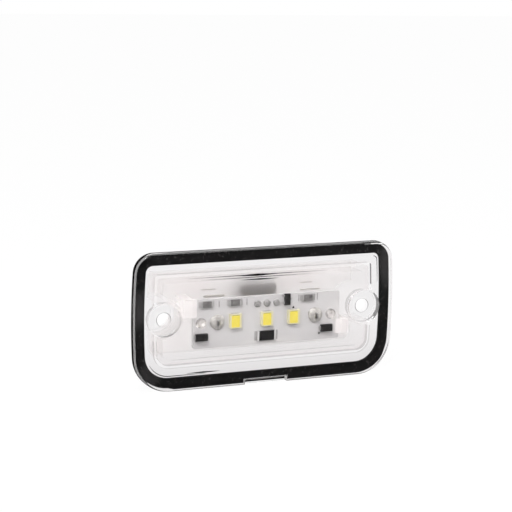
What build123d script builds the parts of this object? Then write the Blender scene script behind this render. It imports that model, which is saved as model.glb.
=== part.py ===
from build123d import *
import os

os.makedirs("parts", exist_ok=True)

# Number plate lamp. X runs across the lamp, Y from the front into the panel, Z is up.
# The origin is midway between the two screw holes, on the plane where the screw bosses meet the panel.

# Lens plate
plate_width = 70.4
plate_height = 35.2
plate_drop = 0.65
plate_thickness = 2.0
side_bow = 0.8
top_radius = 5.0
bottom_radius = 9.4
least_radius = 0.6
edge_round = 0.55
notch_width = 11.6
notch_depth = 1.5
notch_radius = 0.5

# Screw holes
hole_edge_distance = 8.2
hole_diameter = 3.5
counterbore_diameter = 8.4
counterbore_depth = 1.5
counterbore_bevel = 0.2
boss_diameter = 8.4
boss_height = 1.6
boss_gap = 0.15

# Seal behind the plate's rim
seal_inset = 0.55
seal_width = 2.6
seal_body = 0.7
seal_bead_height = 1.7
seal_bead_width = 1.2
seal_bevel = 0.3
seal_gap = 0.06

# Collar on the back of the lens
collar_gap = 2.45
collar_wall = 0.75
collar_depth = 2.4

# Rear housing
housing_gap = 0.1
weld_gap = 0.08
housing_wall = 1.35
bite_wall = 0.7
housing_depth = 9.6
rear_wall = 1.2
housing_bevel = 0.5

# Circuit board
board_left_margin = 3.35
board_right_margin = 0.5
board_height = 12.65
board_thickness = 1.2
board_corner = 0.5
board_drop = 2.38
board_depth = 2.2

# Posts and hooks that hold the board
left_post_end_distance = 2.05
right_post_end_distance = 2.5
post_diameter = 3.4
pin_diameter = 1.9
pin_gap = 0.1
stake_diameter = 2.7
stake_height = 0.65
stake_bevel = 0.4
left_hook_thickness = 2.8
right_hook_thickness = 1.9
left_hook_height = 4.7
right_hook_height = 3.9
hook_gap = 0.15
hook_lip = 0.9
hook_lip_height = 0.9
hook_crest = 0.3
hook_seat = 0.05
left_hook_rise = 4.25
right_hook_drop = 3.1

# Terminals and connector
joint_from_post = 4.3
joint_diameter = 4.1
joint_height = 1.1
joint_shoulder = 1.55
joint_shoulder_height = 0.62
joint_crown = 0.95
lead_tip = 0.3
lead_chamfer = 0.2
lead_width = 1.4
lead_hole_gap = 0.12
strip_thickness = 0.8
strip_width = 2.4
strip_wall_gap = 1.1
tab_width = 2.8
tab_pitch = 5.0
tab_reach = 4.0
connector_rise = 3.65
connector_width = 10.4
connector_height = 8.6
connector_wall = 1.1
connector_floor = 1.4
connector_corner = 1.0
socket_depth = 6.2
seat_depth = 0.4
seat_gap = 0.06
slot_gap = 0.06
latch_width = 3.2
latch_rise = 0.8
latch_length = 2.2
latch_setback = 1.6

# Light emitting diodes
led_width = 3.3
led_length = 3.7
led_height = 0.75
led_side_rim = 0.52
led_end_rim = 0.24
led_cup_depth = 0.4
led_cup_taper = 14.0
led_corner = 0.35
led_fill_gap = 0.02
led_fill_dip = 0.04
led_row_rise = 0.3
first_led_from_joint = 4.8
last_led_from_joint = 6.2
led_centre_shift = 0.35
led_tab_width = 2.0
led_tab_length = 0.3
led_tab_height = 0.28
led_tab_chamfer = 0.18

# Chip resistors
chip_length = 3.2
chip_width = 1.6
chip_height = 0.6
cap_lip = 0.4
cap_wall = 0.08
ballast_length = 5.0
ballast_width = 2.5
ballast_height = 0.65
ballast_lip = 0.45
upper_row_rise = 5.03
ballast_drop = 4.09

# Moulded diodes and the transistor
diode_length = 3.2
diode_width = 1.9
diode_height = 1.1
diode_drop = 3.27
left_diode_end_distance = 2.05
right_diode_end_distance = 3.75
transistor_width = 1.5
transistor_length = 3.0
transistor_height = 1.0
transistor_lead_pitch = 1.9
mould_draft = 8.0
mould_standoff = 0.06
lead_thickness = 0.18
lead_bend = 0.28
lead_foot = 0.36
diode_lead_bend = 0.22
diode_lead_foot = 0.12
diode_lead_width = 1.1
transistor_lead_width = 0.42

# Test pads, solder and spacing along the upper row
pad_diameter = 1.75
pad_height = 0.14
pad_bevel = 0.1
pad_pitch = 2.62
pad_rise = 4.33
pad_shift = 0.15
transistor_from_pad = 2.75
second_chip_from_pad = 6.2
third_chip_from_transistor = 5.8
first_chip_end_distance = 3.5
fillet_length = 0.55
fillet_height = 0.38
ballast_fillet_length = 0.7
fillet_hollow = 0.4

# Depths along Y
plate_back = -boss_height
plate_front = plate_back - plate_thickness
board_front = plate_back + board_depth
board_back = board_front + board_thickness
housing_back = plate_back + housing_depth
rear_inner = housing_back - rear_wall
connector_front = housing_back - seat_depth + seat_gap
socket_floor = housing_back + connector_floor
socket_mouth = socket_floor + socket_depth

# Insets from the plate's outline
collar_inset = seal_inset + seal_width + collar_gap
housing_inset = collar_inset + collar_wall + housing_gap
cavity_inset = housing_inset + housing_wall

# Places across the lamp
hole_x = plate_width / 2 - hole_edge_distance
bite_radius = boss_diameter / 2 + boss_gap
cavity_bite_radius = bite_radius + bite_wall
board_left = cavity_bite_radius - hole_x + board_left_margin
board_right = hole_x - cavity_bite_radius - board_right_margin
board_width = board_right - board_left
board_x = (board_left + board_right) / 2
board_z = -board_drop
led_z = board_z + led_row_rise
post_left = board_left + left_post_end_distance
post_right = board_right - right_post_end_distance
joint_left = post_left + joint_from_post
joint_right = post_right - joint_from_post
connector_x = board_x
connector_z = board_z + connector_rise
tab_left = connector_x - tab_pitch / 2
tab_right = connector_x + tab_pitch / 2
strip_back = rear_inner - strip_wall_gap
strip_front = strip_back - strip_thickness

screw_places = [(-hole_x, 0), (hole_x, 0)]
post_places = [(post_left, led_z), (post_right, led_z)]
joint_places = [(joint_left, led_z), (joint_right, led_z)]
lead_places = joint_places
tab_places = [(tab_left, connector_z), (tab_right, connector_z)]

led_places = {
    "left": (joint_left + first_led_from_joint, led_z),
    "centre": (board_x - led_centre_shift, led_z),
    "right": (joint_right - last_led_from_joint, led_z),
}
pad_places = [(board_x - pad_shift + step * pad_pitch, board_z + pad_rise) for step in (-1, 0, 1)]
transistor_place = (pad_places[2][0] + transistor_from_pad, board_z + upper_row_rise)
chip_places = {
    "outer": (board_left + first_chip_end_distance, board_z + upper_row_rise),
    "inner": (pad_places[0][0] - second_chip_from_pad, board_z + upper_row_rise),
    "right": (transistor_place[0] + third_chip_from_transistor, board_z + upper_row_rise),
}
ballast_place = (led_places["centre"][0], board_z - ballast_drop)
diode_places = {
    "left": (board_left + left_diode_end_distance, board_z - diode_drop),
    "right": (board_right - right_diode_end_distance, board_z - diode_drop),
}


def level(depth):
    # A plane across the lamp at this depth, seen from the front: its normal faces the viewer.
    return Plane.XZ.offset(-depth)


def plate_outline(inset):
    # The plate's outline, drawn in by an inset: bowed sides, tight top corners and wide bottom corners.
    side = plate_width / 2 - inset
    top = plate_height / 2 - plate_drop - inset
    bottom = -plate_height / 2 - plate_drop + inset
    corner = side - side_bow * ((top - bottom) / plate_height) ** 2
    with BuildSketch(mode=Mode.PRIVATE) as outline:
        with BuildLine():
            Line((-corner, top), (corner, top))
            ThreePointArc((corner, top), (side, -plate_drop), (corner, bottom))
            Line((corner, bottom), (-corner, bottom))
            ThreePointArc((-corner, bottom), (-side, -plate_drop), (-corner, top))
        make_face()
        fillet(outline.vertices().group_by(Axis.Y)[-1], max(top_radius - inset, least_radius))
        fillet(outline.vertices().group_by(Axis.Y)[0], max(bottom_radius - inset, least_radius))
    return outline.sketch


# Lens: flange plate with a collar, two screw bosses and a prying notch
with BuildPart() as lens:
    with BuildSketch(level(plate_front)):
        add(plate_outline(0))
    extrude(amount=-plate_thickness)
    fillet(lens.faces().sort_by(Axis.Y)[0].edges(), edge_round)
    with BuildSketch(level(plate_back)):
        add(plate_outline(collar_inset))
        add(plate_outline(collar_inset + collar_wall), mode=Mode.SUBTRACT)
    extrude(amount=-collar_depth)
    with BuildSketch(level(plate_back)):
        with Locations(*screw_places):
            Circle(boss_diameter / 2)
        add(plate_outline(seal_inset + seal_width + boss_gap), mode=Mode.INTERSECT)
    extrude(amount=-boss_height)
    with BuildSketch(level(0)):
        with Locations(*screw_places):
            Circle(bite_radius)
    extrude(amount=-collar_depth, mode=Mode.SUBTRACT)
    with BuildSketch(level(plate_front)) as notch:
        with Locations((0, -plate_height / 2 - plate_drop)):
            Rectangle(notch_width, 2 * notch_depth)
        fillet(notch.vertices(), notch_radius)
    extrude(amount=-plate_thickness, mode=Mode.SUBTRACT)
    with Locations(level(plate_front)):
        with Locations(*screw_places):
            CounterBoreHole(hole_diameter / 2, counterbore_diameter / 2, counterbore_depth)
    chamfer(lens.faces().sort_by(Axis.Y)[0].inner_wires().edges(), counterbore_bevel)
lens.part.label = "lens"
export_step(lens.part, "parts/lens.step")

# Seal: flat ring with a raised bead on the panel side
with BuildPart() as seal:
    with BuildSketch(level(plate_back + seal_gap)):
        add(plate_outline(seal_inset))
        add(plate_outline(seal_inset + seal_width), mode=Mode.SUBTRACT)
    extrude(amount=-seal_body)
    chamfer(seal.faces().sort_by(Axis.Y)[0].outer_wire().edges(), seal_bevel)
    with BuildSketch(level(plate_back + seal_gap + seal_body)):
        add(plate_outline(seal_inset + (seal_width - seal_bead_width) / 2))
        add(plate_outline(seal_inset + (seal_width + seal_bead_width) / 2), mode=Mode.SUBTRACT)
    extrude(amount=-seal_bead_height)
    chamfer(seal.faces().sort_by(Axis.Y)[-1].edges(), seal_bevel)
seal.part.label = "seal"
export_step(seal.part, "parts/seal.step")

# Rear housing: tub with bites round the screws, staked posts and two snap hooks
with BuildPart() as rear_housing:
    with BuildSketch(level(plate_back + weld_gap)):
        add(plate_outline(housing_inset))
        with Locations(*screw_places):
            Circle(bite_radius, mode=Mode.SUBTRACT)
    extrude(amount=-(housing_depth - weld_gap))
    chamfer(rear_housing.faces().sort_by(Axis.Y)[-1].edges(), housing_bevel)
    with BuildSketch(level(plate_back + weld_gap)):
        add(plate_outline(cavity_inset))
        with Locations(*screw_places):
            Circle(cavity_bite_radius, mode=Mode.SUBTRACT)
    extrude(amount=-(rear_inner - plate_back - weld_gap), mode=Mode.SUBTRACT)
    with BuildSketch(level(rear_inner)):
        with Locations(*post_places):
            Circle(post_diameter / 2)
    extrude(amount=rear_inner - board_back)
    with BuildSketch(level(board_back)):
        with Locations(*post_places):
            Circle(pin_diameter / 2)
    extrude(amount=board_thickness)
    with BuildSketch(level(board_front)):
        with Locations(*post_places):
            Circle(stake_diameter / 2)
    extrude(amount=stake_height)
    crowns = rear_housing.faces().filter_by_position(
        Axis.Y, board_front - stake_height - 0.01, board_front - stake_height + 0.01
    )
    chamfer(crowns.edges(), stake_bevel)
    with BuildSketch(Plane.XY.offset(board_z + left_hook_rise - left_hook_height / 2)):
        with BuildLine():
            Polyline(
                (board_left - hook_gap, rear_inner),
                (board_left - hook_gap, board_front - hook_seat),
                (board_left + hook_lip, board_front - hook_seat),
                (board_left + hook_lip - hook_crest, board_front - hook_crest),
                (board_left - hook_gap - hook_crest, board_front - hook_lip_height),
                (board_left - hook_gap - left_hook_thickness, board_front - hook_lip_height),
                (board_left - hook_gap - left_hook_thickness, rear_inner),
                close=True,
            )
        make_face()
    extrude(amount=left_hook_height)
    with BuildSketch(Plane.XY.offset(board_z - right_hook_drop - right_hook_height / 2)):
        with BuildLine():
            Polyline(
                (board_right + hook_gap, rear_inner),
                (board_right + hook_gap, board_front - hook_seat),
                (board_right - hook_lip, board_front - hook_seat),
                (board_right - hook_lip + hook_crest, board_front - hook_crest),
                (board_right + hook_gap + hook_crest, board_front - hook_lip_height),
                (board_right + hook_gap + right_hook_thickness, board_front - hook_lip_height),
                (board_right + hook_gap + right_hook_thickness, rear_inner),
                close=True,
            )
        make_face()
    extrude(amount=right_hook_height)
    with BuildSketch(level(housing_back)):
        with Locations((connector_x, connector_z)):
            RectangleRounded(connector_width + 2 * seat_gap, connector_height + 2 * seat_gap, connector_corner)
    extrude(amount=seat_depth, mode=Mode.SUBTRACT)
    with BuildSketch(level(rear_inner)):
        with Locations(*tab_places):
            Rectangle(strip_thickness + 2 * slot_gap, tab_width + 2 * slot_gap)
    extrude(amount=-rear_wall, mode=Mode.SUBTRACT)
rear_housing.part.label = "rear_housing"
export_step(rear_housing.part, "parts/rear_housing.step")

# Circuit board with holes for the staked posts and the terminal leads
with BuildPart() as circuit_board:
    with BuildSketch(level(board_front)) as board_sketch:
        with Locations((board_x, board_z)):
            RectangleRounded(board_width, board_height, board_corner)
        with Locations(*post_places):
            Circle(pin_diameter / 2 + pin_gap, mode=Mode.SUBTRACT)
        with Locations(*lead_places):
            Rectangle(strip_thickness + 2 * lead_hole_gap, lead_width + 2 * lead_hole_gap, mode=Mode.SUBTRACT)
    extrude(amount=-board_thickness)
circuit_board.part.label = "circuit_board"
export_step(circuit_board.part, "parts/circuit_board.step")

# Light emitting diodes: a white package with a tapered cup, filled with phosphor
for name, place in led_places.items():
    with BuildPart() as led_body:
        with BuildSketch(level(board_front)) as package:
            with Locations(place):
                Rectangle(led_width, led_length)
            chamfer(package.vertices().group_by(Axis.Y)[0].sort_by(Axis.X)[0], led_corner)
        extrude(amount=led_height)
        with BuildSketch(level(board_front - led_height)):
            with Locations(place):
                RectangleRounded(led_width - 2 * led_side_rim, led_length - 2 * led_end_rim, led_corner)
        extrude(amount=-led_cup_depth, taper=led_cup_taper, mode=Mode.SUBTRACT)
    led_body.part.label = f"led_body_{name}"
    export_step(led_body.part, f"parts/led_body_{name}.step")
    with BuildPart() as led_fill:
        with BuildSketch(level(board_front - led_height + led_fill_dip)):
            with Locations(place):
                RectangleRounded(
                    led_width - 2 * (led_side_rim + led_fill_gap),
                    led_length - 2 * (led_end_rim + led_fill_gap),
                    led_corner,
                )
        extrude(amount=-(led_cup_depth - led_fill_dip), taper=led_cup_taper)
    led_fill.part.label = f"led_phosphor_{name}"
    export_step(led_fill.part, f"parts/led_phosphor_{name}.step")

# Chip resistors: dark ceramic blocks in plated end caps
for name, place in chip_places.items():
    with BuildPart() as chip:
        with BuildSketch(level(board_front - cap_wall)):
            with Locations(place):
                Rectangle(chip_length - 2 * cap_wall, chip_width)
        extrude(amount=chip_height - 2 * cap_wall)
    chip.part.label = f"chip_resistor_{name}"
    export_step(chip.part, f"parts/chip_resistor_{name}.step")

with BuildPart() as ballast:
    with BuildSketch(level(board_front - cap_wall)):
        with Locations(ballast_place):
            Rectangle(ballast_length - 2 * cap_wall, ballast_width)
    extrude(amount=ballast_height - 2 * cap_wall)
ballast.part.label = "ballast_resistor"
export_step(ballast.part, "parts/ballast_resistor.step")

# Plated end caps: a channel that wraps each end of a resistor
with BuildPart() as chip_caps:
    for x, z in chip_places.values():
        for side in (-1, 1):
            end = x + side * chip_length / 2
            with BuildSketch(Plane.XY.offset(z - chip_width / 2)):
                with BuildLine():
                    Polyline(
                        (end, board_front),
                        (end - side * cap_lip, board_front),
                        (end - side * cap_lip, board_front - cap_wall),
                        (end - side * cap_wall, board_front - cap_wall),
                        (end - side * cap_wall, board_front - chip_height + cap_wall),
                        (end - side * cap_lip, board_front - chip_height + cap_wall),
                        (end - side * cap_lip, board_front - chip_height),
                        (end, board_front - chip_height),
                        close=True,
                    )
                make_face()
            extrude(amount=chip_width)
chip_caps.part.label = "chip_resistor_caps"
export_step(chip_caps.part, "parts/chip_resistor_caps.step")

with BuildPart() as ballast_caps:
    for side in (-1, 1):
        end = ballast_place[0] + side * ballast_length / 2
        with BuildSketch(Plane.XY.offset(ballast_place[1] - ballast_width / 2)):
            with BuildLine():
                Polyline(
                    (end, board_front),
                    (end - side * ballast_lip, board_front),
                    (end - side * ballast_lip, board_front - cap_wall),
                    (end - side * cap_wall, board_front - cap_wall),
                    (end - side * cap_wall, board_front - ballast_height + cap_wall),
                    (end - side * ballast_lip, board_front - ballast_height + cap_wall),
                    (end - side * ballast_lip, board_front - ballast_height),
                    (end, board_front - ballast_height),
                    close=True,
                )
            make_face()
        extrude(amount=ballast_width)
ballast_caps.part.label = "ballast_resistor_caps"
export_step(ballast_caps.part, "parts/ballast_resistor_caps.step")

# Tabs at both ends of each light emitting diode
with BuildPart() as led_tabs:
    for x, z in led_places.values():
        for side in (-1, 1):
            with BuildSketch(level(board_front)):
                with Locations((x, z + side * (led_length + led_tab_length) / 2)):
                    Rectangle(led_tab_width, led_tab_length)
            extrude(amount=led_tab_height)
            outer = led_tabs.edges(Select.LAST).filter_by(Axis.X).group_by(Axis.Y)[0]
            chamfer(outer.sort_by(Axis.Z)[0 if side < 0 else -1], led_tab_chamfer)
led_tabs.part.label = "led_tabs"
export_step(led_tabs.part, "parts/led_tabs.step")

# Moulded diodes: drafted both ways from the parting line, with bent leads
for name, place in diode_places.items():
    with BuildPart() as diode:
        with BuildSketch(level(board_front - diode_height / 2)):
            with Locations(place):
                Rectangle(diode_length, diode_width)
        extrude(amount=diode_height / 2, taper=mould_draft)
        with BuildSketch(level(board_front - diode_height / 2)):
            with Locations(place):
                Rectangle(diode_length, diode_width)
        extrude(amount=-(diode_height / 2 - mould_standoff), taper=mould_draft)
    diode.part.label = f"diode_{name}"
    export_step(diode.part, f"parts/diode_{name}.step")

with BuildPart() as diode_leads:
    parting = board_front - diode_height / 2
    for x, z in diode_places.values():
        for side in (-1, 1):
            end = x + side * diode_length / 2
            with BuildSketch(Plane.XY.offset(z - diode_lead_width / 2)):
                with BuildLine():
                    Polyline(
                        (end, parting - lead_thickness / 2),
                        (end + side * diode_lead_bend, parting - lead_thickness / 2),
                        (end + side * diode_lead_bend, board_front - lead_thickness),
                        (end + side * (diode_lead_bend + diode_lead_foot), board_front - lead_thickness),
                        (end + side * (diode_lead_bend + diode_lead_foot), board_front),
                        (end + side * (diode_lead_bend - lead_thickness), board_front),
                        (end + side * (diode_lead_bend - lead_thickness), parting + lead_thickness / 2),
                        (end, parting + lead_thickness / 2),
                        close=True,
                    )
                make_face()
            extrude(amount=diode_lead_width)
diode_leads.part.label = "diode_leads"
export_step(diode_leads.part, "parts/diode_leads.step")

# Transistor: the same drafted moulding, two leads on one side and one on the other
with BuildPart() as transistor:
    with BuildSketch(level(board_front - transistor_height / 2)):
        with Locations(transistor_place):
            Rectangle(transistor_width, transistor_length)
    extrude(amount=transistor_height / 2, taper=mould_draft)
    with BuildSketch(level(board_front - transistor_height / 2)):
        with Locations(transistor_place):
            Rectangle(transistor_width, transistor_length)
    extrude(amount=-(transistor_height / 2 - mould_standoff), taper=mould_draft)
transistor.part.label = "transistor"
export_step(transistor.part, "parts/transistor.step")

with BuildPart() as transistor_leads:
    parting = board_front - transistor_height / 2
    for side, shift in ((-1, -0.5), (-1, 0.5), (1, 0)):
        end = transistor_place[0] + side * transistor_width / 2
        foot = transistor_place[1] + shift * transistor_lead_pitch - transistor_lead_width / 2
        with BuildSketch(Plane.XY.offset(foot)):
            with BuildLine():
                Polyline(
                    (end, parting - lead_thickness / 2),
                    (end + side * lead_bend, parting - lead_thickness / 2),
                    (end + side * lead_bend, board_front - lead_thickness),
                    (end + side * (lead_bend + lead_foot), board_front - lead_thickness),
                    (end + side * (lead_bend + lead_foot), board_front),
                    (end + side * (lead_bend - lead_thickness), board_front),
                    (end + side * (lead_bend - lead_thickness), parting + lead_thickness / 2),
                    (end, parting + lead_thickness / 2),
                    close=True,
                )
            make_face()
        extrude(amount=transistor_lead_width)
transistor_leads.part.label = "transistor_leads"
export_step(transistor_leads.part, "parts/transistor_leads.step")

# Solder fillets: concave wedges at the ends of the resistors
with BuildPart() as solder_fillets:
    resistors = [(*place, chip_length, chip_width, fillet_length) for place in chip_places.values()]
    resistors.append((*ballast_place, ballast_length, ballast_width, ballast_fillet_length))
    for x, z, length, width, reach in resistors:
        for side in (-1, 1):
            end = x + side * length / 2
            toe = (end + side * reach, board_front)
            top = (end, board_front - fillet_height)
            with BuildSketch(Plane.XY.offset(z - width / 2)):
                with BuildLine():
                    Line((end, board_front), toe)
                    ThreePointArc(
                        toe,
                        (end + side * reach * fillet_hollow, board_front - fillet_height * fillet_hollow),
                        top,
                    )
                    Line(top, (end, board_front))
                make_face()
            extrude(amount=width)
solder_fillets.part.label = "solder_fillets"
export_step(solder_fillets.part, "parts/solder_fillets.step")

# Solder joints: revolved mounds round the terminal leads
for name, (x, z) in zip(("left", "right"), joint_places):
    with BuildPart() as joint:
        with BuildSketch(Plane.XY.offset(z)):
            with BuildLine():
                Polyline(
                    (x, board_front),
                    (x + joint_diameter / 2, board_front),
                    (x + joint_shoulder, board_front - joint_shoulder_height),
                    (x + joint_crown, board_front - joint_height),
                    (x, board_front - joint_height),
                    close=True,
                )
            make_face()
        revolve(axis=Axis((x, 0, z), (0, 1, 0)))
        with BuildSketch(level(board_front)):
            with Locations((x, z)):
                Rectangle(strip_thickness, lead_width)
        extrude(amount=joint_height + lead_tip, mode=Mode.SUBTRACT)
    joint.part.label = f"solder_joint_{name}"
    export_step(joint.part, f"parts/solder_joint_{name}.step")

# Test pads: three shallow tinned domes
with BuildPart() as test_pads:
    for x, z in pad_places:
        with BuildSketch(level(board_front)):
            with Locations((x, z)):
                Circle(pad_diameter / 2)
        extrude(amount=pad_height)
    chamfer(test_pads.faces().filter_by(Axis.Y).group_by(Axis.Y)[0].edges(), pad_bevel)
test_pads.part.label = "test_pads"
export_step(test_pads.part, "parts/test_pads.step")

# Terminals: stamped strips from the solder joints to the connector's tabs
for name, joint_x, tab_x, inward in (("left", joint_left, tab_left, 1), ("right", joint_right, tab_right, -1)):
    with BuildPart() as terminal:
        with BuildSketch(level(board_front - joint_height - lead_tip)):
            with Locations((joint_x, led_z)):
                Rectangle(strip_thickness, lead_width)
        extrude(amount=-(strip_back - board_front + joint_height + lead_tip))
        tip = terminal.faces().sort_by(Axis.Y)[0].edges()
        chamfer(tip, lead_chamfer)
        with BuildSketch(level(strip_front)):
            outer_edge = joint_x - inward * strip_thickness / 2
            inner_edge = tab_x + inward * strip_thickness / 2
            foot = led_z - strip_width / 2
            head = connector_z + tab_width / 2
            with BuildLine():
                Polyline(
                    (outer_edge, foot),
                    (inner_edge, foot),
                    (inner_edge, head),
                    (inner_edge - inward * strip_width, head),
                    (inner_edge - inward * strip_width, foot + strip_width),
                    (outer_edge, foot + strip_width),
                    close=True,
                )
            make_face()
        extrude(amount=-strip_thickness)
        with BuildSketch(level(strip_front)):
            with Locations((tab_x, connector_z)):
                Rectangle(strip_thickness, tab_width)
        extrude(amount=-(socket_floor + tab_reach - strip_front))
        chamfer(terminal.faces().sort_by(Axis.Y)[-1].edges(), lead_chamfer)
    terminal.part.label = f"terminal_{name}"
    export_step(terminal.part, f"parts/terminal_{name}.step")

# Connector shell: socket seated in a recess of the rear wall, with a latch ramp on top
with BuildPart() as connector_shell:
    with BuildSketch(level(connector_front)):
        with Locations((connector_x, connector_z)):
            RectangleRounded(connector_width, connector_height, connector_corner)
    extrude(amount=-(socket_mouth - connector_front))
    with BuildSketch(level(socket_floor)):
        with Locations((connector_x, connector_z)):
            Rectangle(connector_width - 2 * connector_wall, connector_height - 2 * connector_wall)
    extrude(amount=-socket_depth, mode=Mode.SUBTRACT)
    with BuildSketch(level(connector_front)):
        with Locations(*tab_places):
            Rectangle(strip_thickness + 2 * slot_gap, tab_width + 2 * slot_gap)
    extrude(amount=-(socket_floor - connector_front), mode=Mode.SUBTRACT)
    with BuildSketch(Plane.YZ.offset(connector_x - latch_width / 2)):
        crown = connector_z + connector_height / 2
        with BuildLine():
            Polyline(
                (socket_mouth - latch_setback - latch_length, crown),
                (socket_mouth - latch_setback - latch_length, crown + latch_rise),
                (socket_mouth - latch_setback, crown),
                close=True,
            )
        make_face()
    extrude(amount=latch_width)
connector_shell.part.label = "connector_shell"
export_step(connector_shell.part, "parts/connector_shell.step")
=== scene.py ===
import bpy
import numpy as np
from mathutils import Matrix, Vector


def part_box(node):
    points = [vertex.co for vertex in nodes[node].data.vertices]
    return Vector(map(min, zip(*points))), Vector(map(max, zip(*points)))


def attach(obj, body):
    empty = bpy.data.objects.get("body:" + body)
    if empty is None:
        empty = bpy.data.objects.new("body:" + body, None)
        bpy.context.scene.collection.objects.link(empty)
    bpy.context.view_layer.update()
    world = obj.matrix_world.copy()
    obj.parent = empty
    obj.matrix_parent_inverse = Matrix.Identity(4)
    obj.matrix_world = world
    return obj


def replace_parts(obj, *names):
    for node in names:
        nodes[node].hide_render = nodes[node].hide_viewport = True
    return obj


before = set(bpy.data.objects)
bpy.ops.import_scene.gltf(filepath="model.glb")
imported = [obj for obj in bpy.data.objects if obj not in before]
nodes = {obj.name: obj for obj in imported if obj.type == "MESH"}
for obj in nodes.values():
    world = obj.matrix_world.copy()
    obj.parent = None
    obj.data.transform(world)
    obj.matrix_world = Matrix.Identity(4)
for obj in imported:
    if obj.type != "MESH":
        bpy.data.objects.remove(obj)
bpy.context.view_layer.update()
scene = bpy.context.scene
scene.view_settings.view_transform = "Standard"
perMetre = 1000.0  # regions and grids are in millimetres; bumps, camera, floor and lamps in metres
print("stage: frame loaded")

# Small helpers for node materials. Every material reads Object coordinates, in metres.

grain = {"broad": (3.0, 0.55), "fine": (4.0, 0.6), "dust": (2.0, 0.6)}  # detail and roughness of a noise
solidIor = 1.5  # of every opaque surface


def newMaterial(name):
    material = bpy.data.materials.new(name)
    material.use_nodes = True
    tree = material.node_tree
    shader = tree.nodes["Principled BSDF"]
    output = tree.nodes["Material Output"]
    coords = tree.nodes.new("ShaderNodeTexCoord")
    return material, tree, shader, output, coords


def noiseNode(tree, coords, scale, kind="broad"):
    detail, rough = grain[kind]
    noise = tree.nodes.new("ShaderNodeTexNoise")
    noise.inputs["Scale"].default_value = scale
    noise.inputs["Detail"].default_value = detail
    noise.inputs["Roughness"].default_value = rough
    tree.links.new(coords.outputs["Object"], noise.inputs["Vector"])
    return noise.outputs["Fac"]


def rangeNode(tree, source, low, high, start=0.3, end=0.7, smooth=False):  # a noise is mostly 0.3 to 0.7
    span = tree.nodes.new("ShaderNodeMapRange")
    span.interpolation_type = "SMOOTHSTEP" if smooth else "LINEAR"
    span.inputs["From Min"].default_value = start
    span.inputs["From Max"].default_value = end
    span.inputs["To Min"].default_value = low
    span.inputs["To Max"].default_value = high
    tree.links.new(source, span.inputs["Value"])
    return span.outputs["Result"]


def mathNode(tree, operation, first, second):
    node = tree.nodes.new("ShaderNodeMath")
    node.operation = operation
    for socket, value in zip(node.inputs, (first, second)):
        if isinstance(value, (int, float)):
            socket.default_value = value
        else:
            tree.links.new(value, socket)
    return node.outputs["Value"]


def mixColours(tree, source, dark, light):
    mix = tree.nodes.new("ShaderNodeMix")
    mix.data_type = "RGBA"
    for socket, colour in ((mix.inputs["A"], dark), (mix.inputs["B"], light)):
        if isinstance(colour, tuple):
            socket.default_value = (*colour, 1.0)
        else:
            tree.links.new(colour, socket)
    tree.links.new(source, mix.inputs["Factor"])
    return mix.outputs["Result"]


def mixShaders(tree, share, first, second):
    mix = tree.nodes.new("ShaderNodeMixShader")
    if isinstance(share, (int, float)):
        mix.inputs["Fac"].default_value = share
    else:
        tree.links.new(share, mix.inputs["Fac"])
    tree.links.new(first, mix.inputs[1])
    tree.links.new(second, mix.inputs[2])
    return mix.outputs["Shader"]


def plainShader(tree, kind, colour):
    plain = tree.nodes.new(kind)
    plain.inputs["Color"].default_value = (*colour, 1.0)
    return plain.outputs["BSDF"]


def splitCoords(tree, coords, output="Object"):
    parts = tree.nodes.new("ShaderNodeSeparateXYZ")
    tree.links.new(coords.outputs[output], parts.inputs["Vector"])
    return parts


def boxMask(tree, parts, boxes):
    # One inside any of some boxes of Object coordinates, in millimetres, and nought outside them.
    total = None
    for low, high in boxes:
        mask = None
        for axis, lowEnd, highEnd in zip("XYZ", low, high):
            inside = tree.nodes.new("ShaderNodeMath")
            inside.operation = "COMPARE"
            inside.inputs[1].default_value = (lowEnd + highEnd) / 2 / perMetre
            inside.inputs[2].default_value = (highEnd - lowEnd) / 2 / perMetre
            tree.links.new(parts.outputs[axis], inside.inputs[0])
            value = inside.outputs["Value"]
            mask = value if mask is None else mathNode(tree, "MULTIPLY", mask, value)
        total = mask if total is None else mathNode(tree, "MAXIMUM", total, mask)
    return total


def spotMask(tree, parts, spots):
    # One at each spot's middle, falling smoothly to nothing at the edge of its ellipse across X and Z.
    mask = None
    for x, z, reachX, reachZ in spots:
        total = None
        for axis, middle, reach in (("X", x, reachX), ("Z", z, reachZ)):
            away = mathNode(tree, "SUBTRACT", parts.outputs[axis], middle / perMetre)
            away = mathNode(tree, "MULTIPLY", away, perMetre / reach)
            square = mathNode(tree, "MULTIPLY", away, away)
            total = square if total is None else mathNode(tree, "ADD", total, square)
        spot = rangeNode(tree, total, 1.0, 0.0, 0.0, 1.0, smooth=True)
        mask = spot if mask is None else mathNode(tree, "MAXIMUM", mask, spot)
    return mask


def rimMask(tree, parts, middle, half, soft):
    # Nothing inside a rectangle across X and Z, rising smoothly to one at its rim.
    rim = None
    for axis, centre, reach in zip("XZ", middle, half):
        away = mathNode(tree, "SUBTRACT", parts.outputs[axis], centre / perMetre)
        away = mathNode(tree, "ABSOLUTE", away, 0.0)
        edge = rangeNode(tree, away, 0.0, 1.0, (reach - soft) / perMetre, reach / perMetre, smooth=True)
        rim = edge if rim is None else mathNode(tree, "MAXIMUM", rim, edge)
    return rim


def addBump(tree, shader, source, strength, distance):
    bump = tree.nodes.new("ShaderNodeBump")
    bump.inputs["Strength"].default_value = strength
    bump.inputs["Distance"].default_value = distance
    tree.links.new(source, bump.inputs["Height"])
    tree.links.new(bump.outputs["Normal"], shader.inputs["Normal"])


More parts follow.
